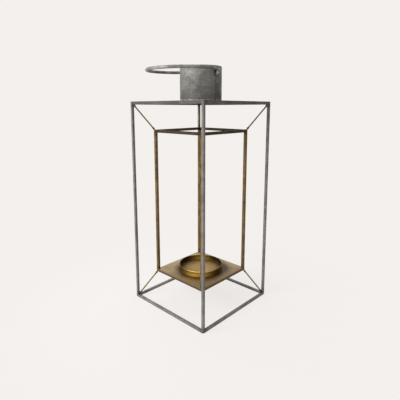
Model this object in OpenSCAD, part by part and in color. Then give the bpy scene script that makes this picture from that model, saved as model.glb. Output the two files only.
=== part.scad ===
// Candle lantern. A tall frame of square zinc-coated rod carries a smaller brass frame on
// eight diagonal wires. The brass frame stands on a plate with a round cup for a pillar candle.
// A zinc collar on the top sheet holds a round handle that swings over it.
// Origin: middle of the square it stands on. +Z is up. The handle lies towards -Y.

/* [Outer frame] */
// Width over the outer posts
frame_w = 160; // [140:1:200]
// Height over the outer posts
frame_h = 336.4; // [300:0.2:400]
// Side of the square rod
rod = 4; // [3:0.5:6]
// Radius along the edges of rods and bars
edge_r = 0.4; // [0.2:0.1:0.6]
// Radius to which the weld at each foot is ground
foot_r = 2.6; // [1:0.1:2.8]

/* [Inner frame] */
// Width over the inner posts
inner_w = 108.6; // [96:0.2:120]
// Height of the middle of the inner ring
ring_z = 290; // [250:1:295]
// Side of the square bar
bar = 4.5; // [3:0.5:6]
// Diameter of the diagonal wires
wire_d = 2.2; // [1.6:0.1:3]

/* [Candle plate] */
// Height of the plate's upper face
plate_z = 50.8; // [30:0.2:90]
// Depth of the edge that is turned down
plate_edge = 4; // [3:0.5:8]
// Thickness of the plate
plate_t = 1.2; // [0.8:0.1:2]
// Outer diameter of the cup
cup_d = 73.8; // [60:0.2:90]
// Height of the cup
cup_h = 9.9; // [6:0.1:25]
// Thickness of the cup's wall and floor
cup_t = 1; // [0.6:0.1:1.5]

/* [Collar] */
// Thickness of the top sheet
top_t = 0.8; // [0.5:0.1:2]
// Outer diameter of the collar
collar_d = 67; // [60:0.5:80]
// Height of the collar
collar_h = 54; // [40:1:80]
// Thickness of the collar
collar_t = 1.5; // [1:0.1:2]
// Width of the ledge that the collar leaves around the vent
vent_ledge = 1.5; // [0.5:0.5:5]
// Radius of the solder along the collar's foot
solder_r = 1.6; // [0.8:0.1:3]

/* [Handle] */
// Diameter of the handle's rod
bail_d = 4.8; // [4:0.1:6]
// Diameter of its ends, which turn in the collar
pin_d = 4.7; // [3.9:0.1:5.9]
// Radius of the handle's round, to the middle of the rod
bail_r = 54; // [48:0.5:64]
// Depth of the pivot holes below the collar's rim
pivot_drop = 12.8; // [9:0.1:20]
// Height of the round above the pivot
bail_rise = 6.4; // [6:0.1:10]
// Bend radius where the rod turns down at the collar
bend_r = 2.7; // [2.5:0.1:4]
// Angle by which the handle hangs below level
bail_droop = 1.3; // [0:0.1:5]
// Clearance around the ends in the pivot holes
pivot_play = 0.06; // [0.02:0.01:0.1]

/* [Hidden] */
$fn = 48;

// Middle of an outer post and of an inner post, from the lantern's axis
post_c = (frame_w - rod) / 2;
inner_c = (inner_w - bar) / 2;
// Heights of the ring's upper face, the plate's underside and the top sheet's upper face
ring_top = ring_z + bar / 2;
plate_under = plate_z - plate_edge;
top_z = frame_h + top_t;
// Level of the pivot holes
pivot_z = top_z + collar_h - pivot_drop;
// Radii of the collar, and of the vent that lets the warm air into it
collar_r = collar_d / 2;
vent_r = collar_r - collar_t - vent_ledge;
// Radius of the plate's turned edge and of the sheet's corners
fold_r = 0.5;
corner_r = 1;
// The seam of the rolled collar: width, depth and place beside the hole
seam_w = 0.5;
seam_deep = 0.4;
seam_angle = -7;
// Radius between the cup's floor and wall
cup_fillet = 1.5;
// How far the handle's ends reach inside the collar, and the gap before their bend
pin_inside = 3;
pin_gap = 0.3;
// How far a cut runs past what it cuts
past = 1;
// The handle's round is three quarters of a circle. Where its rod runs down beside the
// collar, and how far the round's middle is from the pivot
leg_x = (bail_r - bend_r) / sqrt(2);
bail_c = (bail_r + bend_r) / sqrt(2);
// Radius of the handle's last bend, and the straight length above it
turn_r = leg_x - collar_r - pin_gap;
straight = bail_rise - bend_r - turn_r;

// Square of side w with its corners rounded to radius r
module soft_square(w, r) {
  square([w, w - 2 * r], center = true);
  square([w - 2 * r, w], center = true);
  for (x = [-1, 1], y = [-1, 1]) translate([x, y] * (w / 2 - r)) circle(r);
}

// Upright bar of side w from z = low to z = high
module upright(w, low, high) {
  translate([0, 0, low]) linear_extrude(high - low) soft_square(w, edge_r);
}

// Level bar of side w along X, with its middle at y = across and z = up
module level_bar(w, length, across, up) {
  translate([-length / 2, across, up]) rotate([90, 0, 90])
    linear_extrude(length) soft_square(w, edge_r);
}

// Outer post at the corner on sides sx and sy
module post(sx, sy) {
  translate([sx * post_c, sy * post_c]) upright(rod, 0, frame_h);
}

// Outer post with the outer corner of its foot ground round
module ground_post(sx, sy) {
  reach = frame_w / sqrt(2);
  intersection() {
    post(sx, sy);
    rotate(atan2(sy, sx)) translate([0, rod, 0]) rotate([90, 0, 0]) linear_extrude(2 * rod) {
      square([reach - foot_r, frame_h]);
      translate([0, foot_r]) square([reach, frame_h - foot_r]);
      translate([reach - foot_r, foot_r]) circle(foot_r);
    }
  }
}

// Outer rail between two posts, on the side that faces turn degrees from -Y
module rail(turn, up) {
  rotate(turn) level_bar(rod, frame_w - 2 * rod, -post_c, up);
}

// Inner post from the plate to the top of the ring
module inner_post(sx, sy) {
  translate([sx * inner_c, sy * inner_c]) upright(bar, plate_z, ring_top);
}

// Bar of the inner ring between two inner posts
module ring_bar(turn) {
  rotate(turn) level_bar(bar, inner_w - 2 * bar, -inner_c, ring_z);
}

// Round wire between two points
module wire(a, b) {
  run = b - a;
  flat = norm([run.x, run.y]);
  translate(a) rotate([0, atan2(flat, run.z), atan2(run.y, run.x)])
    cylinder(d = wire_d, h = norm(run));
}

// Wire from the ring's corner up to the outer frame's corner, cut to seat on both
module upper_wire(sx, sy) {
  difference() {
    wire([sx * inner_c, sy * inner_c, ring_z], [sx * post_c, sy * post_c, frame_h - rod / 2]);
    inner_post(sx, sy);
    post(sx, sy);
    for (turn = [0, 90, 180, 270]) rail(turn, frame_h - rod / 2);
  }
}

// Wire from the plate's corner down to the outer frame's corner, cut to seat on both
module lower_wire(sx, sy) {
  difference() {
    wire([sx * inner_c, sy * inner_c, plate_z - plate_edge / 2],
         [sx * post_c, sy * post_c, rod / 2]);
    plate_form(inner_w, plate_under, plate_z);
    post(sx, sy);
    for (turn = [0, 90, 180, 270]) rail(turn, rod / 2);
  }
}

// Square block of side w from z = low to z = high, with its upper edges rounded
module plate_form(w, low, high) {
  intersection_for (turn = [0, 90]) rotate(turn)
    translate([0, w / 2]) rotate([90, 0, 0]) linear_extrude(w) {
      translate([-w / 2, low]) square([w, high - low - fold_r]);
      translate([-w / 2 + fold_r, low]) square([w - 2 * fold_r, high - low]);
      for (x = [-1, 1]) translate([x * (w / 2 - fold_r), high - fold_r]) circle(fold_r);
    }
}

// Plate bent from one sheet, open below
module plate() {
  color("#8f7640") difference() {
    plate_form(inner_w, plate_under, plate_z);
    plate_form(inner_w - 2 * plate_t, plate_under - past, plate_z - plate_t);
  }
}

// Pressed cup: flat floor, rounded inner corner, upright wall with a round lip
module cup() {
  inner_r = cup_d / 2 - cup_t;
  lip_r = cup_t / 2;
  color("#a07f3c") translate([0, 0, plate_z]) rotate_extrude() {
    square([cup_d / 2, cup_t]);
    translate([inner_r, 0]) square([cup_t, cup_h - lip_r]);
    translate([inner_r + lip_r, cup_h - lip_r]) circle(lip_r);
    difference() {
      translate([inner_r - cup_fillet, cup_t]) square(cup_fillet);
      translate([inner_r - cup_fillet, cup_t + cup_fillet]) circle(cup_fillet);
    }
  }
}

// Sheet that lies on the top rails, with the vent under the collar
module top_sheet() {
  color("#76746f") translate([0, 0, frame_h]) linear_extrude(top_t) difference() {
    soft_square(frame_w, corner_r);
    circle(vent_r, $fn = 96);
  }
}

// Rolled collar with a round lip, solder along its foot, a seam and the two pivot holes
module collar() {
  lip_r = collar_t / 2;
  color("#7f7d78") difference() {
    translate([0, 0, top_z]) rotate_extrude($fn = 96) {
      translate([collar_r - collar_t, 0]) square([collar_t, collar_h - lip_r]);
      translate([collar_r - lip_r, collar_h - lip_r]) circle(lip_r, $fn = 32);
      difference() {
        translate([collar_r, 0]) square(solder_r);
        translate([collar_r + solder_r, solder_r]) circle(solder_r, $fn = 32);
      }
    }
    translate([-collar_d, 0, pivot_z]) rotate([0, 90, 0])
      cylinder(r = pin_d / 2 + pivot_play, h = 2 * collar_d);
    rotate(seam_angle) translate([collar_r - seam_deep, -seam_w / 2, top_z + solder_r])
      cube([2 * seam_deep, seam_w, collar_h]);
  }
}

// Part of a ring bent from rod of diameter d, from +X round towards +Y
module bend(d, r, sweep = 90) {
  rotate_extrude(angle = sweep) translate([r, 0]) circle(d = d);
}

// One end of the handle, from where the round ends at [bail_r, 0]: bent down beside the
// collar, then straight, bent inwards and through the pivot hole, a little thinner
module bail_end() {
  pin = pin_gap + collar_t + pin_inside;
  translate([bail_r, 0, -bend_r]) rotate([180, -90, 0]) bend(bail_d, bend_r);
  translate([bail_r, -bend_r, -bend_r]) rotate(45) {
    translate([0, 0, -straight]) cylinder(d = pin_d, h = straight);
    translate([-turn_r, 0, -straight]) rotate([-90, 0, 0]) bend(pin_d, turn_r);
    translate([-turn_r - pin, 0, -straight - turn_r]) rotate([0, 90, 0])
      cylinder(d = pin_d, h = pin);
  }
}

// Handle bent from one rod: a round that is open at the collar, and its two ends
module bail() {
  color("#6b6964") translate([0, 0, pivot_z]) rotate([bail_droop, 0, 0])
    translate([0, -bail_c, bail_rise]) rotate(45) mirror([0, 1, 0]) {
      bend(bail_d, bail_r, 270);
      bail_end();
      rotate(-90) mirror([0, 1, 0]) bail_end();
    }
}

module post_front_left() { color("#807e79") ground_post(-1, -1); }
module post_front_right() { color("#807e79") ground_post(1, -1); }
module post_back_left() { color("#807e79") ground_post(-1, 1); }
module post_back_right() { color("#807e79") ground_post(1, 1); }

module foot_rail_front() { color("#7a7873") rail(0, rod / 2); }
module foot_rail_right() { color("#7a7873") rail(90, rod / 2); }
module foot_rail_back() { color("#7a7873") rail(180, rod / 2); }
module foot_rail_left() { color("#7a7873") rail(270, rod / 2); }

module top_rail_front() { color("#7a7873") rail(0, frame_h - rod / 2); }
module top_rail_right() { color("#7a7873") rail(90, frame_h - rod / 2); }
module top_rail_back() { color("#7a7873") rail(180, frame_h - rod / 2); }
module top_rail_left() { color("#7a7873") rail(270, frame_h - rod / 2); }

module inner_post_front_left() { color("#7d6430") inner_post(-1, -1); }
module inner_post_front_right() { color("#7d6430") inner_post(1, -1); }
module inner_post_back_left() { color("#7d6430") inner_post(-1, 1); }
module inner_post_back_right() { color("#7d6430") inner_post(1, 1); }

module ring_bar_front() { color("#755d2c") ring_bar(0); }
module ring_bar_right() { color("#755d2c") ring_bar(90); }
module ring_bar_back() { color("#755d2c") ring_bar(180); }
module ring_bar_left() { color("#755d2c") ring_bar(270); }

module upper_wire_front_left() { color("#8a7440") upper_wire(-1, -1); }
module upper_wire_front_right() { color("#8a7440") upper_wire(1, -1); }
module upper_wire_back_left() { color("#8a7440") upper_wire(-1, 1); }
module upper_wire_back_right() { color("#8a7440") upper_wire(1, 1); }

module lower_wire_front_left() { color("#8a7440") lower_wire(-1, -1); }
module lower_wire_front_right() { color("#8a7440") lower_wire(1, -1); }
module lower_wire_back_left() { color("#8a7440") lower_wire(-1, 1); }
module lower_wire_back_right() { color("#8a7440") lower_wire(1, 1); }

post_front_left();
post_front_right();
post_back_left();
post_back_right();
foot_rail_front();
foot_rail_back();
foot_rail_left();
foot_rail_right();
top_rail_front();
top_rail_back();
top_rail_left();
top_rail_right();
top_sheet();
collar();
bail();
inner_post_front_left();
inner_post_front_right();
inner_post_back_left();
inner_post_back_right();
ring_bar_front();
ring_bar_back();
ring_bar_left();
ring_bar_right();
upper_wire_front_left();
upper_wire_front_right();
upper_wire_back_left();
upper_wire_back_right();
lower_wire_front_left();
lower_wire_front_right();
lower_wire_back_left();
lower_wire_back_right();
plate();
cup();
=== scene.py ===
import math

import bpy
import numpy as np
from bpy.props import FloatProperty, FloatVectorProperty, PointerProperty
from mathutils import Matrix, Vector


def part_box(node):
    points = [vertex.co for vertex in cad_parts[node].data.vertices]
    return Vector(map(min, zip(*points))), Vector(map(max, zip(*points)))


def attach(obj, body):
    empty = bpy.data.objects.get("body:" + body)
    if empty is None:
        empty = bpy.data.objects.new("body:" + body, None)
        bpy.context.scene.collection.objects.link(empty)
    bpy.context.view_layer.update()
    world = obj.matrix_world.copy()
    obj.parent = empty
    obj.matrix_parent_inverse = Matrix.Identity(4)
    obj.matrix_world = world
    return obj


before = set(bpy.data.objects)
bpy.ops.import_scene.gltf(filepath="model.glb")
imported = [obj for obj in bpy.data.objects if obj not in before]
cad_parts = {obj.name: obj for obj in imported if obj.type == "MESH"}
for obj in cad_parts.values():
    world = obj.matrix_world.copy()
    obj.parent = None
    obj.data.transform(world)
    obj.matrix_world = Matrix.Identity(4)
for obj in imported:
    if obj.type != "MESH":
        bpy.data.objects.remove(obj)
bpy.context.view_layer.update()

bl_info = {
    "name": "Candle Lantern",
    "version": (1, 0, 0),
    "blender": (4, 5, 0),
    "location": "3D View > Sidebar > Lantern",
    "description": "Finishes, welds and solder of a zinc and brass candle lantern",
    "category": "Object",
}

MM = 0.001

# Names of the CAD nodes
CORNERS = ("front_left", "front_right", "back_left", "back_right")
WALLS = ("front", "right", "back", "left")
POSTS = ["post_" + corner for corner in CORNERS]
INNER_POSTS = ["inner_post_" + corner for corner in CORNERS]
FOOT_RAILS = ["foot_rail_" + wall for wall in WALLS]
TOP_RAILS = ["top_rail_" + wall for wall in WALLS]
RING_BARS = ["ring_bar_" + wall for wall in WALLS]
WIRES = [f"{level}_wire_{corner}" for level in ("upper", "lower") for corner in CORNERS]

# Sizes that no node's box gives
WIRE_RADIUS = 1.1 * MM
CUP_WALL = 1.0 * MM
COLLAR_FILLET = 1.6 * MM  # how far the fillet at the collar's foot stands out from its wall
HINGE_DROP = 11.5 * MM  # from the collar's rim down to the handle's hinge

# Welds and solder
OUTER_WELD, INNER_WELD = 5.5 * MM, 4.0 * MM  # how far a weld reaches along its wire
WELD_START = 1.5 * MM  # how far behind the corner a weld begins
FOOT_SOLDER_HEIGHT, FOOT_SOLDER_WIDTH = 2.9 * MM, 1.8 * MM
FOOT_SOLDER_LUMPS = 2.1  # how much lumpier it is than the welds
SEAM_SOLDER_WIDTH, SEAM_SOLDER_HEIGHT = 0.9 * MM, 0.22 * MM
SEAM_SOLDER_SWAY = 0.6 * MM
SEAM_START, SEAM_END = 2 * MM, 14 * MM  # above the collar's foot, and below its rim
FOOT_SEED, SEAM_SEED, WELD_SEED = 11, 12, 20
PHASES = 6.3  # random phases run from 0 to this, in radians

# The collar's seam, as angles round the collar from +X towards +Y
SEAM_LINE = math.radians(-8.7)  # middle of the line of solder
SEAM_CRACK = math.radians(-6.9)  # dirt in the seam beside it
SEAM_SHADE = math.radians(-6.5)  # edge of the painted shade beyond it, on the collar's side away from the key lamp

# Tones of the outer frame's rods, as factors on the zinc's colour. The foot rails' lighter tone is
# painted light. The top rails' darker tone, which the top sheet shares, is partly painted shade and
# partly darker metal. Together they paint a gradient from bright at the foot to dark at the top.
POST_TONE, FOOT_RAIL_TONE, TOP_TONE = 1.07, 1.32, 0.50

# Patinas and painted light and shade, with their colours as linear red, green, blue and alpha
HALO_SHIFT = 1.8 * MM  # how far the ring of wax heat and painted shadow round the cup lies off its middle, along X and Y
WAX_STAIN_AND_SHADOW = (0.078, 0.035, 0.016, 1)  # plate, round the cup: heat stain, with painted contact shadow next to the cup
PLATE_DEEP = (0.110, 0.066, 0.018, 1)  # plate, towards +X and -Y
PLATE_SIDE = (0.085, 0.050, 0.018, 1)  # plate, turned-down sides
# cup wall: painted shade near its foot and a painted dark reflection below its rim
CUP_OLIVE_SHADE = (0.085, 0.055, 0.016, 1)
# painted highlight along the cup's rim
CUP_RIM_HIGHLIGHT = (1.0, 0.70, 0.25, 1)
# painted dark reflection and shade on two opposite sides of the cup's wall
CUP_DARK_REFLECTION = (0.008, 0.004, 0.002, 1)
CUP_FLOOR = (0.420, 0.275, 0.105, 1)
# cup floor next to its wall: soot, and painted shade from the wall
SOOT_AND_SHADE = (0.012, 0.008, 0.004, 1)
PLATE_STREAKS = (60.0, 700.0, 700.0)  # drawn along X
COLLAR_STREAKS = (90.0, 90.0, 900.0)  # drawn round the collar

# What the shared effects do to a metal's colour: the factor on it, and how much warmer it gets
STAIN_TINT = (0.45, 0.06)
RUB_TINT = (1.9, 0.0)
# darkening of the painted shade in inner corners, which also stands for dirt there
DIRT_AND_SHADE_TINT = (0.25, 0.08)
RUB_WIDTH = 0.9 * MM
ROUGH_SPREAD = 0.08  # how far the clouds move the roughness to each side
DIRT_ROUGHNESS = 0.25  # how much rougher dirt makes it
RELIEF = 0.35  # strength of the bumps that clouds and streaks make

# Streaks on a bar, by the axis that it lies along: squeezed across it, and stretched along it
ALONG = {"x": (30.0, 1100.0, 1100.0), "y": (1100.0, 30.0, 1100.0), "z": (1100.0, 1100.0, 30.0)}

# The stage
LAMP_AIM = (0, 0, 0.2)
KEY_PLACE, KEY_WIDTH = (-0.42, -1.40, 0.95), 1.1
TOP_PLACE, TOP_WIDTH = (-0.5, 0.35, 1.55), 1.2
CAMERA_PLACE = (0.4056, -0.4318, 0.3265)
CAMERA_TILT, CAMERA_TURN = math.radians(79.97), math.radians(43.34)
CAMERA_SHIFT, SENSOR_WIDTH = -0.07, 36.0
FLOOR_RADIUS = 30.0
SHADOW_START, SHADOW_END = 0.12, 0.36  # metres from the middle, where the shadow fades out


def centre(node):
    """Middle of a node's box, in metres."""
    low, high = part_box(node)
    return (Vector(low) + Vector(high)) / 2


def size(node):
    """Size of a node's box, in metres."""
    low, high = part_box(node)
    return Vector(high) - Vector(low)


# ---------------------------------------------------------------- settings


def colour_setting(name, description, default):
    """Setting that holds a colour."""
    return FloatVectorProperty(name=name, description=description, subtype="COLOR", size=3,
                               min=0, max=1, default=default)


def share_setting(name, description, default, most=1.0):
    """Setting that holds a share, from nothing to the most allowed."""
    return FloatProperty(name=name, description=description, subtype="FACTOR", min=0, max=most,
                         default=default)


def number_setting(name, description, default, least, most, unit="NONE"):
    """Setting that holds a number, with its unit."""
    return FloatProperty(name=name, description=description, unit=unit, min=least, max=most,
                         default=default)


class LanternFinish(bpy.types.PropertyGroup):
    """Colours and wear of the metals"""

    zinc: colour_setting("Zinc", "Dull zinc of the outer frame", (0.175, 0.166, 0.156))
    collar_zinc: colour_setting("Collar zinc", "Zinc of the rolled collar", (0.190, 0.192, 0.177))
    handle_zinc: colour_setting("Handle zinc", "Zinc of the handle", (0.250, 0.244, 0.232))
    solder: colour_setting("Solder", "Solder along the collar", (0.310, 0.303, 0.280))
    post_brass: colour_setting("Inner post brass", "Antique brass of the inner posts",
                               (0.165, 0.107, 0.036))
    ring_brass: colour_setting("Ring brass", "Darker antique brass of the ring",
                               (0.046, 0.034, 0.018))
    wire: colour_setting("Wire brass", "Olive brass of the diagonal wires", (0.190, 0.145, 0.013))
    plate: colour_setting("Plate brass", "Satin brass of the plate", (0.400, 0.300, 0.165))
    cup: colour_setting("Cup brass", "Golden brass of the cup", (0.620, 0.360, 0.056))
    weld: colour_setting("Weld", "Burnt metal at the welds", (0.060, 0.054, 0.047))
    wear: share_setting("Edge wear", "How far the edges are rubbed bright", 0.35)


class LanternWelds(bpy.types.PropertyGroup):
    """Sizes of the welds and the solder"""

    outer_bulge: number_setting(
        "Outer weld", "How far a weld at the outer frame stands out from its wire",
        0.0010, 0.0, 0.004, "LENGTH")
    inner_bulge: number_setting(
        "Inner weld", "How far a weld at the inner frame stands out from its wire",
        0.0006, 0.0, 0.004, "LENGTH")
    lumps: share_setting(
        "Lumps", "Unevenness of welds and solder, as a share of their size", 0.16, most=0.5)


class LanternStage(bpy.types.PropertyGroup):
    """Camera, lamps and floor"""

    ground: colour_setting("Ground", "Colour of the floor and the air behind",
                           (0.905, 0.871, 0.846))
    lens: number_setting("Lens", "Focal length in millimetres", 32.42, 10, 200)
    key: number_setting("Key lamp", "Power of the big soft lamp in front", 25.5, 0, 500, "POWER")
    top: number_setting("Top lamp", "Power of the weak lamp above", 7.0, 0, 500, "POWER")
    air: number_setting("Air", "Strength of the light from all round", 0.36, 0, 2)
    shadow: share_setting(
        "Shadow", "Share of the real shadow that the floor shows at the lantern", 0.15)
    lift: number_setting(
        "Lift", "Factor that brings the floor's lit share to the ground's colour", 1.17, 0, 10)


# ---------------------------------------------------------------- node trees


def feed(tree, socket, value):
    """Gives a socket its value, or links it to the socket that feeds it."""
    if isinstance(value, bpy.types.NodeSocket):
        tree.links.new(value, socket)
    else:
        socket.default_value = value


def add(tree, kind, values=None, **settings):
    """New node of a kind. settings are its attributes, and values maps its sockets, by name or
    number, to what feeds them."""
    node = tree.nodes.new(kind)
    for name, value in settings.items():
        setattr(node, name, value)
    for key, value in (values or {}).items():
        feed(tree, node.inputs[key], value)
    return node


def calc(tree, operation, a, b=0.0, clamp=False):
    """One step of arithmetic on values or sockets."""
    node = add(tree, "ShaderNodeMath", {0: a, 1: b}, operation=operation, use_clamp=clamp)
    return node.outputs[0]


def vector_calc(tree, operation, a, b, output="Value"):
    """One step of vector arithmetic on values or sockets."""
    return add(tree, "ShaderNodeVectorMath", {0: a, 1: b}, operation=operation).outputs[output]


def distance(tree, a, b=(0, 0, 0)):
    """Distance between two points."""
    return vector_calc(tree, "DISTANCE", a, b)


def split(tree, vector):
    """The three parts of a vector."""
    return tuple(add(tree, "ShaderNodeSeparateXYZ", {0: vector}).outputs)


def join(tree, x, y, z=0.0):
    """Vector of three parts."""
    return add(tree, "ShaderNodeCombineXYZ", {0: x, 1: y, 2: z}).outputs[0]


def ramp(tree, source, stops, interpolation="LINEAR"):
    """Colour ramp with stops of (place, grey level) on the source socket."""
    node = add(tree, "ShaderNodeValToRGB", {"Fac": source})
    node.color_ramp.interpolation = interpolation
    elements = node.color_ramp.elements
    while len(elements) < len(stops):
        elements.new(0.5)
    for element, (place, level) in zip(elements, stops):
        element.position = place
        element.color = (level, level, level, 1)
    return node.outputs["Color"]


def ramp_by_length(tree, source, stops, full=100 * MM, interpolation="LINEAR"):
    """Colour ramp on a length: stops of (metres, grey level), none past the full length."""
    share = calc(tree, "MULTIPLY", source, 1 / full)
    return ramp(tree, share, [(place / full, level) for place, level in stops], interpolation)


def noise(tree, point, scale, detail, roughness, distortion=0.0):
    """Value of a noise texture at a point."""
    return add(tree, "ShaderNodeTexNoise", {
        "Vector": point, "Scale": scale, "Detail": detail, "Roughness": roughness,
        "Distortion": distortion}).outputs["Fac"]


def blend_colour(tree, factor, a, b, mode="MIX"):
    """Mix of two colours, each a value or a socket."""
    return add(tree, "ShaderNodeMix", {0: factor, 6: a, 7: b}, data_type="RGBA", blend_type=mode,
               clamp_factor=True).outputs[2]


def object_point(tree):
    """Object coordinates, in metres."""
    return add(tree, "ShaderNodeTexCoord").outputs["Object"]


def seen_share(tree):
    """1 for light that the camera sees directly, in a mirror or through glass, and 0 for light
    that falls on a surface."""
    path = add(tree, "ShaderNodeLightPath").outputs
    seen = calc(tree, "ADD", path["Is Camera Ray"], path["Is Glossy Ray"])
    return calc(tree, "ADD", seen, path["Is Transmission Ray"], clamp=True)


def group(name, inputs, outputs):
    """Empty shader node group. inputs are (name, socket type, default), and outputs are (name,
    socket type)."""
    tree = bpy.data.node_groups.new(name, "ShaderNodeTree")
    for label, kind, default in inputs:
        socket = tree.interface.new_socket(label, in_out="INPUT", socket_type=kind)
        socket.default_value = default
    for label, kind in outputs:
        tree.interface.new_socket(label, in_out="OUTPUT", socket_type=kind)
    return tree, tree.nodes.new("NodeGroupInput").outputs, tree.nodes.new("NodeGroupOutput").inputs


def make_mottle_group():
    """Cloudy patina: slow clouds, broken by finer ones, and small dark pits."""
    tree, given, put = group(
        "Mottle",
        [("Base", "NodeSocketColor", (0.5, 0.5, 0.5, 1)),
         ("Light", "NodeSocketColor", (0.7, 0.7, 0.7, 1)),
         ("Dark", "NodeSocketColor", (0.2, 0.2, 0.2, 1)),
         ("Clouds", "NodeSocketFloat", 60.0),
         ("Pits", "NodeSocketFloat", 700.0),
         ("Amount", "NodeSocketFloat", 1.0)],
        [("Color", "NodeSocketColor"), ("Mask", "NodeSocketFloat"), ("Height", "NodeSocketFloat")])
    point = object_point(tree)
    slow = noise(tree, point, given["Clouds"], 5.0, 0.62, 0.6)
    fine = noise(tree, point, given["Pits"], 3.0, 0.7)
    clouds = ramp(tree, slow, [(0.34, 0.0), (0.66, 1.0)], "EASE")
    pits = ramp(tree, fine, [(0.36, 1.0), (0.47, 0.0)])
    light = calc(tree, "MULTIPLY", calc(tree, "SUBTRACT", clouds, 0.5, clamp=True), given["Amount"])
    dark = calc(tree, "MULTIPLY", calc(tree, "SUBTRACT", 0.5, clouds, clamp=True), given["Amount"])
    speck = calc(tree, "MULTIPLY", pits, calc(tree, "MULTIPLY", given["Amount"], 0.4))
    colour = blend_colour(tree, calc(tree, "MULTIPLY", light, 2.0), given["Base"], given["Light"])
    colour = blend_colour(tree, calc(tree, "MULTIPLY", dark, 2.0), colour, given["Dark"])
    colour = blend_colour(tree, speck, colour, given["Dark"])
    height = calc(tree, "SUBTRACT", calc(tree, "MULTIPLY", slow, 0.5),
                  calc(tree, "MULTIPLY", pits, 0.5))
    feed(tree, put["Color"], colour)
    feed(tree, put["Mask"], clouds)
    feed(tree, put["Height"], height)
    return tree


def make_rub_group():
    """Mask of the edges that are rubbed: where a widely rounded normal leaves the true one."""
    tree, given, put = group(
        "Rubbed edges",
        [("Width", "NodeSocketFloat", 0.001), ("Amount", "NodeSocketFloat", 0.5)],
        [("Mask", "NodeSocketFloat")])
    soft = add(tree, "ShaderNodeBevel", {"Radius": given["Width"]}, samples=6).outputs[0]
    true = add(tree, "ShaderNodeNewGeometry").outputs["Normal"]
    edge = ramp(tree, vector_calc(tree, "DOT_PRODUCT", soft, true), [(0.80, 1.0), (0.99, 0.0)])
    patchy = ramp(tree, noise(tree, object_point(tree), 130.0, 4.0, 0.65),
                  [(0.38, 0.0), (0.62, 1.0)])
    feed(tree, put["Mask"], calc(tree, "MULTIPLY", calc(tree, "MULTIPLY", edge, patchy),
                                 given["Amount"]))
    return tree


def make_dirt_and_shade_group():
    """Mask of painted shade in inner corners, from ambient occlusion; it also stands for dirt
    there.
    """
    tree, given, put = group(
        "Corner grime",
        [("Reach", "NodeSocketFloat", 0.004), ("Amount", "NodeSocketFloat", 1.0)],
        [("Mask", "NodeSocketFloat")])
    shut = add(tree, "ShaderNodeAmbientOcclusion", {"Distance": given["Reach"]}, samples=8)
    deep = ramp(tree, shut.outputs["AO"], [(0.35, 1.0), (0.90, 0.0)])
    feed(tree, put["Mask"], calc(tree, "MULTIPLY", deep, given["Amount"]))
    return tree


def make_stain_group():
    """Mask of the heat stain at a frame's corners: it falls off with the distance from the
    nearest of eight points, at half a width to each side and at a low and a high level."""
    tree, given, put = group(
        "Joint stain",
        [("Half", "NodeSocketFloat", 0.078), ("Low", "NodeSocketFloat", 0.0),
         ("High", "NodeSocketFloat", 0.3), ("Reach", "NodeSocketFloat", 0.012),
         ("Amount", "NodeSocketFloat", 1.0)],
        [("Mask", "NodeSocketFloat")])
    point = object_point(tree)
    x, y, z = split(tree, point)
    across = [calc(tree, "SUBTRACT", calc(tree, "ABSOLUTE", part), given["Half"])
              for part in (x, y)]
    levels = [calc(tree, "ABSOLUTE", calc(tree, "SUBTRACT", z, given[name]))
              for name in ("Low", "High")]
    far = distance(tree, join(tree, *across, calc(tree, "MINIMUM", *levels)))
    ragged = calc(tree, "SUBTRACT", noise(tree, point, 260.0, 4.0, 0.6), 0.5)
    share = calc(tree, "ADD", calc(tree, "DIVIDE", far, given["Reach"]),
                 calc(tree, "MULTIPLY", ragged, 1.6))
    mask = ramp(tree, share, [(0.15, 1.0), (1.0, 0.0)], "EASE")
    feed(tree, put["Mask"], calc(tree, "MULTIPLY", mask, given["Amount"]))
    return tree


def make_streak_group():
    """Fine lines drawn along a bar: noise squeezed along two axes and stretched along one."""
    tree, given, put = group(
        "Drawn streaks",
        [("Stretch", "NodeSocketVector", (900.0, 900.0, 30.0)), ("Amount", "NodeSocketFloat", 0.5)],
        [("Factor", "NodeSocketColor"), ("Height", "NodeSocketFloat")])
    place = vector_calc(tree, "MULTIPLY", object_point(tree), given["Stretch"], "Vector")
    lines = ramp(tree, noise(tree, place, 1.0, 3.0, 0.6), [(0.30, 0.0), (0.70, 1.0)])
    swing = calc(tree, "MULTIPLY", given["Amount"], calc(tree, "SUBTRACT", lines, 0.5))
    feed(tree, put["Factor"], calc(tree, "ADD", 1.0, swing))
    feed(tree, put["Height"], lines)
    return tree


GROUPS = {"Mottle": make_mottle_group, "Rubbed edges": make_rub_group,
          "Corner grime": make_dirt_and_shade_group, "Joint stain": make_stain_group,
          "Drawn streaks": make_streak_group}


def place_group(tree, name, values):
    """Puts a shared node group into a tree, and makes it on first use."""
    shared = bpy.data.node_groups.get(name) or GROUPS[name]()
    return add(tree, "ShaderNodeGroup", values, node_tree=shared).outputs


def shade(colour, factor, warmth=0.0):
    """Colour made lighter or darker, and redder by warmth, as RGBA."""
    r, g, b = (min(1.0, c * factor) for c in colour)
    return (min(1.0, r * (1 + warmth)), g, b * (1 - warmth), 1)


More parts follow.
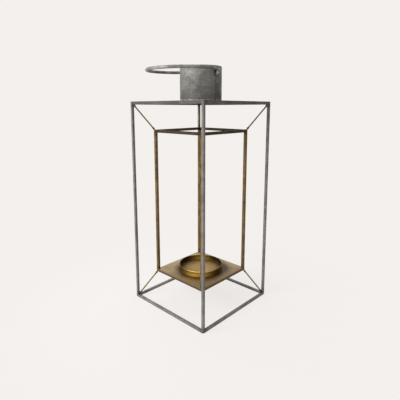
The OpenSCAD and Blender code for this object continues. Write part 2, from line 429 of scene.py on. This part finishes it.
def metal(name, base, *, light, dark, clouds, pits, metallic, specular, roughness, wear,
          amount=1.0, dirt_and_shade=0.7, dirt_and_shade_reach=4 * MM, bump=0.6 * MM, stretch=None, streaks=0.25,
          stain=None, extra=None):
    """Aged metal: mottled colour, drawn streaks along stretch, stain at the joints, rubbed edges,
    and painted shade in the corners, which also stands for dirt there and roughens them.
    extra(tree, colour) may change the colour and returns it."""
    material = bpy.data.materials.new(name)
    material.use_nodes = True
    tree = material.node_tree
    shader = tree.nodes["Principled BSDF"].inputs
    mottle = place_group(tree, "Mottle", {
        "Base": shade(base, 1), "Light": shade(base, light), "Dark": shade(base, dark, 0.04),
        "Clouds": clouds, "Pits": pits, "Amount": amount})
    colour, height = mottle["Color"], mottle["Height"]
    if stretch:
        lines = place_group(tree, "Drawn streaks", {"Stretch": stretch, "Amount": streaks})
        colour = blend_colour(tree, 1.0, colour, lines["Factor"], "MULTIPLY")
        height = calc(tree, "ADD", height, calc(tree, "MULTIPLY", lines["Height"], 0.5))
    if stain:
        burnt = place_group(tree, "Joint stain", stain)["Mask"]
        colour = blend_colour(tree, burnt, colour, shade(base, *STAIN_TINT))
    if extra:
        colour = extra(tree, colour)
    rubbed = place_group(tree, "Rubbed edges", {"Width": RUB_WIDTH, "Amount": wear})["Mask"]
    colour = blend_colour(tree, rubbed, colour, shade(base, *RUB_TINT))
    # painted shade in inner corners, from ambient occlusion; it also roughens them as dirt
    dirt = place_group(tree, "Corner grime", {"Reach": dirt_and_shade_reach, "Amount": dirt_and_shade})["Mask"]
    colour = blend_colour(tree, dirt, colour, shade(base, *DIRT_AND_SHADE_TINT))
    rough = add(tree, "ShaderNodeMapRange", {
        "Value": mottle["Mask"], "To Min": roughness + ROUGH_SPREAD,
        "To Max": roughness - ROUGH_SPREAD}).outputs[0]
    rough = calc(tree, "ADD", rough, calc(tree, "MULTIPLY", dirt, DIRT_ROUGHNESS), clamp=True)
    relief = add(tree, "ShaderNodeBump", {"Height": height, "Distance": bump, "Strength": RELIEF})
    feed(tree, shader["Base Color"], colour)
    feed(tree, shader["Roughness"], rough)
    feed(tree, shader["Metallic"], metallic)
    feed(tree, shader["Specular IOR Level"], specular)
    feed(tree, shader["Normal"], relief.outputs[0])
    return material


def dress(nodes, material):
    """Gives CAD nodes a material in place of their plain one."""
    for name in nodes:
        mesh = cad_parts[name].data
        mesh.materials.clear()
        mesh.materials.append(material)


# ---------------------------------------------------------------- surfaces


def mesh_object(name, points, faces):
    """Object at the origin with a mesh of these points and faces."""
    mesh = bpy.data.meshes.new(name)
    mesh.from_pydata(points.tolist(), [], faces)
    mesh.update()
    piece = bpy.data.objects.new(name, mesh)
    bpy.context.scene.collection.objects.link(piece)
    return piece


def round_angles(count):
    """Angles of so many even steps once round."""
    return np.linspace(0, 2 * math.pi, count, endpoint=False)


def tube(name, grid, closed_path=False):
    """Mesh from a grid of points, grid[along, round]. Rows join round; the ends close on a point
    in their middle, or join each other where the path is closed. Seen by someone who looks along
    the path, each row runs anticlockwise, and then the faces point outwards."""
    rows, cols = grid.shape[:2]
    points = grid.reshape(-1, 3)
    i = np.arange(rows if closed_path else rows - 1)[:, None]
    j = np.arange(cols)[None, :]
    a, b = i * cols + j, i * cols + (j + 1) % cols
    c, d = (i + 1) % rows * cols + (j + 1) % cols, (i + 1) % rows * cols + j
    faces = np.stack([a, d, c, b], axis=-1).reshape(-1, 4).tolist()
    if not closed_path:
        poles = np.stack([grid[0].mean(axis=0), grid[-1].mean(axis=0)])
        first, last = rows * cols, rows * cols + 1
        ring = np.arange(cols)
        after = (ring + 1) % cols
        base = (rows - 1) * cols
        faces += np.stack([np.full(cols, first), ring, after], axis=1).tolist()
        faces += np.stack([np.full(cols, last), base + after, base + ring], axis=1).tolist()
        points = np.concatenate([points, poles])
    piece = mesh_object(name, points, faces)
    piece.data.shade_smooth()
    return piece


def disc(name, radius):
    """Flat disc at z = 0: rings of points round a middle point, further apart outwards by the
    square of the row's number."""
    rows, cols = 40, 96
    angle = round_angles(cols)
    reach = radius * np.linspace(0, 1, rows + 1)[1:, None] ** 2
    rings = np.stack([reach * np.cos(angle), reach * np.sin(angle), 0 * reach * angle], axis=-1)
    points = np.concatenate([np.zeros((1, 3)), rings.reshape(-1, 3)])
    i, j = np.arange(rows - 1)[:, None] * cols + 1, np.arange(cols)[None, :]
    after = (j + 1) % cols
    faces = np.stack([i + j, i + cols + j, i + cols + after, i + after], axis=-1).reshape(-1, 4)
    fan = np.stack([0 * j[0], j[0] + 1, after[0] + 1], axis=1)
    return mesh_object(name, points, faces.tolist() + fan.tolist())


def finish_piece(piece, material):
    """Puts the material on a new piece, and says that it rides on the frame and has this slot."""
    piece.data.materials.append(material)
    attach(piece, "frame")


def lump(angle, along, seed):
    """Unevenness from -1 to 1: a sum of waves round and along, with phases set by the seed."""
    phase = np.random.default_rng(seed).uniform(0, 2 * math.pi, 4)
    return (0.45 * np.sin(2 * angle + phase[0] + 3 * along) + 0.25 * np.sin(3 * angle + phase[1])
            + 0.20 * np.sin(5 * angle - 7 * along + phase[2]) + 0.10 * np.sin(9 * along + phase[3]))


def waves(rng, x, counts, least):
    """Sum of size * sin(count * x + phase) / 3 over the counts, with random sizes from the least
    to 1 and random phases."""
    return sum(rng.uniform(least, 1) * np.sin(k * x + rng.uniform(0, PHASES)) / 3 for k in counts)


def bead(name, base, direction, bulge, length, seed, lumps):
    """Weld where a wire meets a corner. At distance s along the wire from the corner the radius
    is the wire's, plus bulge * exp(-(s / spread)^2), made uneven by a sum of waves. It begins
    behind the corner, where it narrows by a square root."""
    direction = Vector(direction).normalized()
    side = direction.cross(Vector((0, 0, 1))).normalized()
    up = side.cross(direction)
    s = np.linspace(-WELD_START, length, 26)[:, None]
    angle = round_angles(28)[None, :]
    spread = length * 0.42
    swell = bulge * np.exp(-(s / spread) ** 2)
    # a hundredth thicker than the wire, so that the two surfaces don't coincide
    radius = WIRE_RADIUS * 1.01 + swell * (1 + 2.2 * lumps * lump(angle, s / length, seed))
    radius = radius * np.clip((s + WELD_START) / (WELD_START * 0.9), 0.25, 1) ** 0.5
    grid = (np.array(base) + s[..., None] * np.array(direction)
            + (radius * np.cos(angle))[..., None] * np.array(side)
            + (radius * np.sin(angle))[..., None] * np.array(up))
    return tube(name, grid)


def foot_solder(name, radius, foot, height, width, lumps, seed):
    """Solder round the collar's foot, at the angles a. Its section is a hollow quarter-ellipse
    of bend, out = w * (1 - sin(bend)) and up = h * (1 - cos(bend)), where h and w are the height
    and the width made uneven by a sum of waves of a."""
    a = round_angles(240)[:, None]
    t = np.linspace(0, 1, 14)[None, :]
    uneven = waves(np.random.default_rng(seed), a, (3, 5, 8, 13, 21, 34, 47), 0.3)
    h = height * (1 + lumps * uneven)
    w = width * (1 - lumps * 0.8 * uneven)
    # out along the sheet, over the concave fillet, and back down inside the collar's wall
    bend = np.clip((t - 0.1) / 0.8, 0, 1) * math.pi / 2
    out = w * (1 - np.sin(bend))
    up = h * (1 - np.cos(bend))
    inside = np.where(t > 0.92, -0.4 * MM, 0.0)
    below = np.where(t < 0.08, -0.2 * MM, 0.0)
    r = radius + out + inside
    z = foot + np.where(t > 0.97, 0.0, up) + below
    grid = np.stack([r * np.cos(a), r * np.sin(a), z + 0 * a], axis=-1)
    return tube(name, grid, closed_path=True)


def seam_solder(name, radius, turn, low, high, width, height, sway, lumps, seed):
    """Solder drawn up the collar's seam, from s = 0 to 1. Its section is an ellipse of angle,
    width / 2 * cos(angle) across and height * sin(angle) out, whose back lies inside the
    collar's wall. A sum of waves of s makes it uneven, both ends taper by a square root, and
    the line sways to both sides by another such sum."""
    s = np.linspace(0, 1, 120)[:, None]
    angle = round_angles(20)[None, :]
    rng = np.random.default_rng(seed)
    swell = 1 + 2 * lumps * waves(rng, s * math.pi, (3, 7, 13, 22, 37, 61), 0.4)
    drift = sum(np.sin(k * s * math.pi + rng.uniform(0, PHASES)) / 3 for k in (4, 7, 11))
    taper = np.sqrt(np.clip(np.minimum(s, 1 - s) * 14, 0.02, 1))
    across = width / 2 * taper * swell * np.cos(angle)
    r = radius + height * taper * swell * np.sin(angle)
    turn = turn + (across + sway * drift) / radius
    z = low + (high - low) * s + 0 * angle
    return tube(name, np.stack([r * np.cos(turn), r * np.sin(turn), z], axis=-1))


# ---------------------------------------------------------------- operators


def bars_by_way(bars):
    """Bars grouped by the axis along which each is longest, as {axis: bars}."""
    ways = ["xyz"[int(np.argmax(size(name)))] for name in bars]
    return {way: [name for name, own in zip(bars, ways) if own == way]
            for way in sorted(set(ways))}


class LANTERN_OT_outer_frame(bpy.types.Operator):
    """Dull zinc on the outer posts, rails and top sheet"""

    bl_idname = "lantern.outer_frame"
    bl_label = "Finish outer frame"

    def execute(self, context):
        look = context.scene.lantern_finish
        stain = {"Half": centre("post_back_right").x, "Low": centre("foot_rail_front").z,
                 "High": centre("top_rail_front").z, "Reach": 11 * MM, "Amount": 0.7}
        zinc = dict(light=1.32, dark=0.66, clouds=55.0, pits=650.0, amount=0.75, metallic=0.15,
                    specular=0.35, roughness=0.50, wear=look.wear)
        # the foot rails are painted lighter and the top rails darker: painted light and shade from
        # the foot up
        for label, tone, bars in (("Zinc post", POST_TONE, POSTS),
                                  ("Zinc foot rail", FOOT_RAIL_TONE, FOOT_RAILS),
                                  ("Zinc top rail", TOP_TONE, TOP_RAILS)):
            base = shade(look.zinc, tone)[:3]
            for way, names in bars_by_way(bars).items():
                dress(names, metal(f"{label} along {way}", base, stretch=ALONG[way], stain=stain,
                                   **zinc))
        # the top sheet shares the top rails' darker tone, partly painted shade
        dress(["top_sheet"], metal("Zinc sheet", shade(look.zinc, TOP_TONE)[:3], **zinc))
        return {"FINISHED"}


class LANTERN_OT_collar(bpy.types.Operator):
    """Clouded zinc on the collar, and the solder round its foot and up its seam"""

    bl_idname = "lantern.collar"
    bl_label = "Finish collar"

    def execute(self, context):
        look = context.scene.lantern_finish
        welds = context.scene.lantern_welds
        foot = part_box("top_sheet")[1][2]
        low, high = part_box("collar")
        rim = high[2]
        radius = (high[0] - low[0]) / 2 - COLLAR_FILLET

        def patina(tree, colour):
            """Brown stain that rises unevenly from the foot, most towards -X and -Y, paler blotches
            in the upper half, a dark stain round each hinge, painted shade beyond the seam on the
            side away from the key lamp, a fine grain, and dirt along the seam."""
            zinc = look.collar_zinc
            point = object_point(tree)
            x, y, z = split(tree, point)
            uneven = calc(tree, "SUBTRACT", noise(tree, point, 95.0, 6.0, 0.7), 0.5)
            share = calc(tree, "DIVIDE", calc(tree, "SUBTRACT", z, foot), rim - foot)
            level = calc(tree, "ADD", share, calc(tree, "MULTIPLY", uneven, 1.3))
            lean = calc(tree, "MULTIPLY", calc(tree, "ADD", x, y), -22.0)
            stain = calc(tree, "MULTIPLY", ramp(tree, level, [(0.12, 0.80), (0.36, 0.0)]),
                         calc(tree, "ADD", lean, 0.15, clamp=True))
            colour = blend_colour(tree, stain, colour, shade(zinc, 0.58, 0.10))
            pale = ramp(tree, level, [(0.66, 0.0), (0.92, 0.55)], "EASE")
            colour = blend_colour(tree, pale, colour, shade(zinc, 1.28, 0.03))

            gap = distance(tree, join(tree, calc(tree, "ABSOLUTE", x), y, z),
                           (radius, 0, rim - HINGE_DROP))
            gap = calc(tree, "ADD", gap, calc(tree, "MULTIPLY", uneven, 22 * MM))
            hinge = ramp_by_length(tree, gap, [(3 * MM, 0.75), (10 * MM, 0.0)], 10 * MM, "EASE")
            colour = blend_colour(tree, hinge, colour, shade(zinc, 0.40, 0.02))

            turn = calc(tree, "ARCTAN2", y, x)
            # painted shade: darker beyond the seam, on the collar's side away from the key lamp
            beyond = ramp(tree, calc(tree, "ADD", turn, 0.5 - SEAM_SHADE),
                          [(0.49, 0.0), (0.51, 0.35), (0.95, 0.35), (1.0, 0.0)])
            colour = blend_colour(tree, beyond, colour, shade(zinc, 0.45))
            grain = calc(tree, "MULTIPLY", noise(tree, point, 480.0, 2.0, 0.6), 1.1)
            colour = blend_colour(tree, 1.0, colour, calc(tree, "ADD", 0.45, grain), "MULTIPLY")
            off = calc(tree, "ABSOLUTE", calc(tree, "SUBTRACT", turn, SEAM_CRACK))
            off = calc(tree, "ADD", calc(tree, "MULTIPLY", off, 10.0),
                       calc(tree, "MULTIPLY", uneven, 0.35))
            crack = ramp(tree, off, [(0.10, 0.85), (0.26, 0.0)])
            return blend_colour(tree, crack, colour, shade(zinc, 0.22))

        dress(["collar"], metal(
            "Collar zinc", look.collar_zinc, light=1.32, dark=0.68, clouds=50.0, pits=300.0,
            amount=0.85, metallic=0.15, specular=0.3, roughness=0.50, wear=look.wear, dirt_and_shade=0.4,
            stretch=COLLAR_STREAKS, streaks=0.20, extra=patina))
        solder = metal("Solder", look.solder, light=1.5, dark=0.3, clouds=330.0, pits=900.0,
                       metallic=0.2, specular=0.35, roughness=0.45, wear=0.0, bump=0.8 * MM)
        ring = foot_solder("collar_foot_solder", radius, foot, FOOT_SOLDER_HEIGHT,
                           FOOT_SOLDER_WIDTH, FOOT_SOLDER_LUMPS * welds.lumps, FOOT_SEED)
        line = seam_solder("collar_seam_solder", radius, SEAM_LINE, foot + SEAM_START,
                           rim - SEAM_END, SEAM_SOLDER_WIDTH, SEAM_SOLDER_HEIGHT,
                           SEAM_SOLDER_SWAY, welds.lumps, SEAM_SEED)
        for piece in (ring, line):
            finish_piece(piece, solder)
        return {"FINISHED"}


class LANTERN_OT_handle(bpy.types.Operator):
    """Zinc on the handle"""

    bl_idname = "lantern.handle"
    bl_label = "Finish handle"

    def execute(self, context):
        look = context.scene.lantern_finish
        dress(["bail"], metal(
            "Handle zinc", look.handle_zinc, light=1.35, dark=0.60, clouds=75.0, pits=700.0,
            amount=0.9, metallic=0.15, specular=0.35, roughness=0.48, wear=0.0))
        return {"FINISHED"}


class LANTERN_OT_inner_frame(bpy.types.Operator):
    """Antique brass on the inner posts and ring bars"""

    bl_idname = "lantern.inner_frame"
    bl_label = "Finish inner frame"

    def execute(self, context):
        look = context.scene.lantern_finish
        stain = {"Half": centre("inner_post_back_right").x, "Low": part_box("plate")[1][2],
                 "High": centre("ring_bar_front").z, "Reach": 12 * MM, "Amount": 0.7}
        for label, base, bars in (("Inner post brass", look.post_brass, INNER_POSTS),
                                  ("Ring brass", look.ring_brass, RING_BARS)):
            for way, names in bars_by_way(bars).items():
                dress(names, metal(
                    f"{label} along {way}", base, light=1.4, dark=0.55, clouds=60.0, pits=650.0,
                    amount=0.8, metallic=0.2, specular=0.14, roughness=0.45, wear=look.wear,
                    stretch=ALONG[way], stain=stain))
        return {"FINISHED"}


class LANTERN_OT_wires(bpy.types.Operator):
    """Olive brass on the diagonal wires"""

    bl_idname = "lantern.wires"
    bl_label = "Finish wires"

    def execute(self, context):
        look = context.scene.lantern_finish
        dress(WIRES, metal(
            "Wire brass", look.wire, light=1.3, dark=0.6, clouds=110.0, pits=800.0, amount=0.8,
            metallic=0.6, specular=0.05, roughness=0.45, wear=0.0, dirt_and_shade_reach=2 * MM))
        return {"FINISHED"}


class LANTERN_OT_plate(bpy.types.Operator):
    """Satin brass on the plate"""

    bl_idname = "lantern.plate"
    bl_label = "Finish plate"

    def execute(self, context):
        look = context.scene.lantern_finish
        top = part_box("plate")[1][2]
        half = size("plate").x / 2
        cup = size("cup").x / 2

        def patina(tree, colour):
            """Reddish ring of old wax heat round the cup, wider towards +X and +Y, whose dark inner
            part next to the cup is painted contact shadow, a brighter border inside a dark band
            along the edges, and dark turned-down sides."""
            point = object_point(tree)
            x, y, z = split(tree, point)
            reach = distance(tree, join(tree, x, y), (HALO_SHIFT, HALO_SHIFT, 0))
            uneven = calc(tree, "SUBTRACT", noise(tree, point, 45.0, 4.0, 0.6), 0.5)
            reach = calc(tree, "ADD", reach, calc(tree, "MULTIPLY", uneven, 18 * MM))
            # heat stain round the cup; its darkest part, next to the cup's foot, is painted contact
            # shadow
            halo = ramp_by_length(tree, reach, [
                (cup + 3 * MM, 1.0), (cup + 7 * MM, 0.60), (cup + 16 * MM, 0.0)])
            colour = blend_colour(tree, halo, colour, WAX_STAIN_AND_SHADOW)
            edge = calc(tree, "MAXIMUM", calc(tree, "ABSOLUTE", x), calc(tree, "ABSOLUTE", y))
            border = ramp_by_length(tree, edge, [(half - 14 * MM, 0.0), (half - 3 * MM, 0.45)])
            colour = blend_colour(tree, border, colour, shade(look.plate, 1.25, 0.04))

            # darker towards the corner between the front and the right
            across = calc(tree, "MULTIPLY", calc(tree, "SUBTRACT", x, y), 4.5)
            deep = ramp(tree, calc(tree, "ADD", across, 0.5),
                        [(0.42, 0.0), (0.66, 0.50), (0.90, 0.62)])
            colour = blend_colour(tree, deep, colour, PLATE_DEEP)
            # and it is a little paler towards -X and -Y
            slope = calc(tree, "MULTIPLY", 1.2, calc(tree, "ADD", x, y))
            colour = blend_colour(tree, 1.0, colour, calc(tree, "SUBTRACT", 1.0, slope), "MULTIPLY")

            band = ramp_by_length(tree, edge, [(half - 2.2 * MM, 0.0), (half - 0.6 * MM, 0.65)])
            colour = blend_colour(tree, band, colour, shade(look.plate, 0.35, 0.05))
            side = ramp_by_length(tree, calc(tree, "SUBTRACT", top, z),
                                  [(0.5 * MM, 0.0), (1.2 * MM, 0.85)], 10 * MM)
            return blend_colour(tree, side, colour, PLATE_SIDE)

        dress(["plate"], metal(
            "Plate brass", look.plate, light=1.15, dark=0.78, clouds=26.0, pits=420.0, amount=0.9,
            metallic=0.3, specular=0.18, roughness=0.42, wear=look.wear,
            stretch=PLATE_STREAKS, streaks=0.08, extra=patina))
        return {"FINISHED"}


class LANTERN_OT_cup(bpy.types.Operator):
    """Golden brass on the cup"""

    bl_idname = "lantern.cup"
    bl_label = "Finish cup"

    def execute(self, context):
        look = context.scene.lantern_finish
        bore = size("cup").x / 2 - CUP_WALL
        foot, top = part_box("cup")[0][2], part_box("cup")[1][2]

        def patina(tree, colour):
            """Duller floor, darker towards its wall with soot and painted shade. The wall has
            painted olive shade near its foot and a painted dark olive reflection below its rim, a
            painted highlight along its rim, and painted dark reflections towards two opposite
            sides, most on the inside."""
            x, y, z = split(tree, object_point(tree))
            reach = distance(tree, join(tree, x, y))
            level = calc(tree, "DIVIDE", calc(tree, "SUBTRACT", z, foot), top - foot)
            # painted shade near the wall's foot, and a painted dark reflection below its rim
            olive = ramp(tree, level, [(0.02, 0.85), (0.14, 0.0), (0.55, 0.0), (0.72, 0.55),
                                       (0.93, 0.45), (0.96, 0.0)])
            wall = blend_colour(tree, olive, colour, CUP_OLIVE_SHADE)
            # painted highlight along the rim
            rim = ramp(tree, level, [(0.90, 0.0), (0.95, 0.95)])
            wall = blend_colour(tree, rim, wall, CUP_RIM_HIGHLIGHT)

            # painted dark reflections and shade: the wall darkens towards the two sides on the line
            # x = y, most on the inside
            # how far round towards the two sides on the line x = y: (x + y) / (reach * sqrt(2))
            turn = calc(tree, "DIVIDE", calc(tree, "ADD", x, y),
                        calc(tree, "MULTIPLY", reach, 1.414))
            ahead = calc(tree, "ABSOLUTE", calc(tree, "ADD", turn, 0.10))
            outer = ramp(tree, ahead, [(0.28, 0.0), (0.64, 0.74), (0.85, 0.92), (1.0, 0.76)])
            inner = ramp(tree, calc(tree, "ABSOLUTE", turn), [(0.05, 0.18), (0.70, 0.96)], "EASE")
            inside = ramp_by_length(tree, reach, [(bore + 0.1 * MM, 1.0), (bore + 0.5 * MM, 0.0)])
            wall = blend_colour(tree, blend_colour(tree, inside, outer, inner), wall, CUP_DARK_REFLECTION)

            # darker towards the floor's edge: soot, and painted shade from the wall
            soot = ramp_by_length(tree, reach, [
                (bore - 20 * MM, 0.0), (bore - 10 * MM, 0.32), (bore - 2 * MM, 0.80)])
            within = ramp_by_length(tree, reach, [(bore - 2 * MM, 1.0), (bore + 0.2 * MM, 0.0)])
            return blend_colour(tree, within, wall, blend_colour(tree, soot, CUP_FLOOR, SOOT_AND_SHADE))

        dress(["cup"], metal(
            "Cup brass", look.cup, light=1.2, dark=0.7, clouds=40.0, pits=500.0, amount=0.8,
            metallic=0.38, specular=0.06, roughness=0.38, wear=0.4 * look.wear, extra=patina))
        return {"FINISHED"}


class LANTERN_OT_welds(bpy.types.Operator):
    """Welds at both ends of the diagonal wires"""

    bl_idname = "lantern.welds"
    bl_label = "Make welds"

    def execute(self, context):
        look = context.scene.lantern_finish
        welds = context.scene.lantern_welds
        rough = dict(light=1.6, dark=0.5, clouds=240.0, pits=1100.0, metallic=0.2, specular=0.35,
                     roughness=0.55, wear=0.0, dirt_and_shade=0.3, bump=1.0 * MM)
        burnt = metal("Burnt weld", look.weld, **rough)
        zinc = metal("Zinc weld", shade(look.zinc, 0.72)[:3], **rough)
        brass = metal("Brass weld", shade(look.ring_brass, 0.85)[:3], **rough)
        # along X, from where the axes of a wire and an upright meet to the metal's surface
        post_half = size("post_front_left").x / 2
        bar_half = size("inner_post_front_left").x / 2
        plate_past = size("plate").x / 2 - abs(centre("inner_post_front_left").x)
        seed = WELD_SEED
        for level, inner_z, outer_z, inner_half, outer_metal in (
                ("upper", centre("ring_bar_front").z, centre("top_rail_front").z, bar_half, zinc),
                ("lower", centre("plate").z, centre("foot_rail_front").z, plate_past, burnt)):
            for corner in CORNERS:
                inner = centre("inner_post_" + corner)
                outer = centre("post_" + corner)
                inner.z, outer.z = inner_z, outer_z
                way = (inner - outer).normalized()
                start = outer + way * (post_half / abs(way.x))
                piece = bead(f"{level}_outer_weld_{corner}", start, way, welds.outer_bulge,
                             OUTER_WELD, seed, welds.lumps)
                finish_piece(piece, outer_metal)
                start = inner - way * (inner_half / abs(way.x))
                piece = bead(f"{level}_inner_weld_{corner}", start, -way, welds.inner_bulge,
                             INNER_WELD, seed + 1, welds.lumps)
                finish_piece(piece, brass)
                seed += 2
        return {"FINISHED"}


class LANTERN_OT_stage(bpy.types.Operator):
    """Floor, lamps and camera"""

    bl_idname = "lantern.stage"
    bl_label = "Set the stage"

    def execute(self, context):
        scene = context.scene
        stage = scene.lantern_stage
        self.make_air(scene, stage)
        self.make_floor(stage)
        for name, place, width, power in (("Key lamp", KEY_PLACE, KEY_WIDTH, stage.key),
                                          ("Top lamp", TOP_PLACE, TOP_WIDTH, stage.top)):
            data = bpy.data.lights.new(name, "AREA")
            data.shape, data.size, data.energy = "DISK", width, power
            lamp = bpy.data.objects.new(name, data)
            lamp.location = place
            way = Vector(LAMP_AIM) - Vector(place)
            lamp.rotation_euler = way.to_track_quat("-Z", "Y").to_euler()
            scene.collection.objects.link(lamp)
        data = bpy.data.cameras.new("Camera")
        data.lens, data.sensor_width, data.shift_y = stage.lens, SENSOR_WIDTH, CAMERA_SHIFT
        data.clip_start, data.clip_end = 0.01, 50
        camera = bpy.data.objects.new("Camera", data)
        camera.location = CAMERA_PLACE
        camera.rotation_euler = (CAMERA_TILT, 0, CAMERA_TURN)
        scene.collection.objects.link(camera)
        scene.camera = camera
        scene.view_settings.view_transform = "Standard"
        return {"FINISHED"}

    def make_air(self, scene, stage):
        """Pale air: seen and mirrored at full strength, and weaker where it lights."""
        world = bpy.data.worlds.new("Air")
        world.use_nodes = True
        tree = world.node_tree
        back = tree.nodes["Background"].inputs
        level = add(tree, "ShaderNodeMapRange", {
            "Value": seen_share(tree), "To Min": stage.air, "To Max": 1.0})
        feed(tree, back["Color"], (*stage.ground, 1))
        feed(tree, back["Strength"], level.outputs[0])
        scene.world = world

    def make_floor(self, stage):
        """Disc that shows the air's colour, and near the lantern a share of real shadow."""
        floor = disc("Floor", FLOOR_RADIUS)
        material = bpy.data.materials.new("Pale floor")
        material.use_nodes = True
        tree = material.node_tree
        tree.nodes.remove(tree.nodes["Principled BSDF"])
        seen = seen_share(tree)
        ground = (*stage.ground, 1)
        # the lit share is drawn brighter where it is seen, so that it meets the air's colour
        lifted = (*(c * stage.lift for c in stage.ground), 1)
        paint = blend_colour(tree, seen, ground, lifted)
        lit = add(tree, "ShaderNodeBsdfDiffuse", {"Color": paint})
        glow = add(tree, "ShaderNodeEmission", {"Color": ground})
        share = ramp(tree, distance(tree, object_point(tree)),
                     [(SHADOW_START, stage.shadow), (SHADOW_END, 0.0)], "EASE")
        amount = calc(tree, "MULTIPLY", seen, calc(tree, "SUBTRACT", 1.0, share))
        mix = add(tree, "ShaderNodeMixShader", {0: amount, 1: lit.outputs[0], 2: glow.outputs[0]})
        feed(tree, tree.nodes["Material Output"].inputs["Surface"], mix.outputs[0])
        floor.data.materials.append(material)


class LANTERN_PT_panel(bpy.types.Panel):
    """Steps of the lantern, in the order in which they run"""

    bl_idname = "LANTERN_PT_panel"
    bl_label = "Candle Lantern"
    bl_space_type = "VIEW_3D"
    bl_region_type = "UI"
    bl_category = "Lantern"

    def draw(self, context):
        for step in STEPS:
            self.layout.operator(step.bl_idname)
        for name in SETTINGS:
            settings = getattr(context.scene, name)
            for field in settings.__annotations__:
                self.layout.prop(settings, field)


STEPS = (LANTERN_OT_stage, LANTERN_OT_outer_frame, LANTERN_OT_collar, LANTERN_OT_handle,
         LANTERN_OT_inner_frame, LANTERN_OT_wires, LANTERN_OT_plate, LANTERN_OT_cup,
         LANTERN_OT_welds)
SETTINGS = {"lantern_finish": LanternFinish, "lantern_welds": LanternWelds,
            "lantern_stage": LanternStage}
CLASSES = (*SETTINGS.values(), *STEPS, LANTERN_PT_panel)


def register():
    """Makes the settings, the steps and the panel known."""
    for cls in CLASSES:
        bpy.utils.register_class(cls)
    for name, cls in SETTINGS.items():
        setattr(bpy.types.Scene, name, PointerProperty(type=cls))


def unregister():
    """Takes back all that register made known."""
    for name in SETTINGS:
        delattr(bpy.types.Scene, name)
    for cls in reversed(CLASSES):
        bpy.utils.unregister_class(cls)


def main():
    """Runs every step."""
    register()
    for step in STEPS:
        family, name = step.bl_idname.split(".")
        getattr(getattr(bpy.ops, family), name)()


if __name__ == "__main__":
    main()
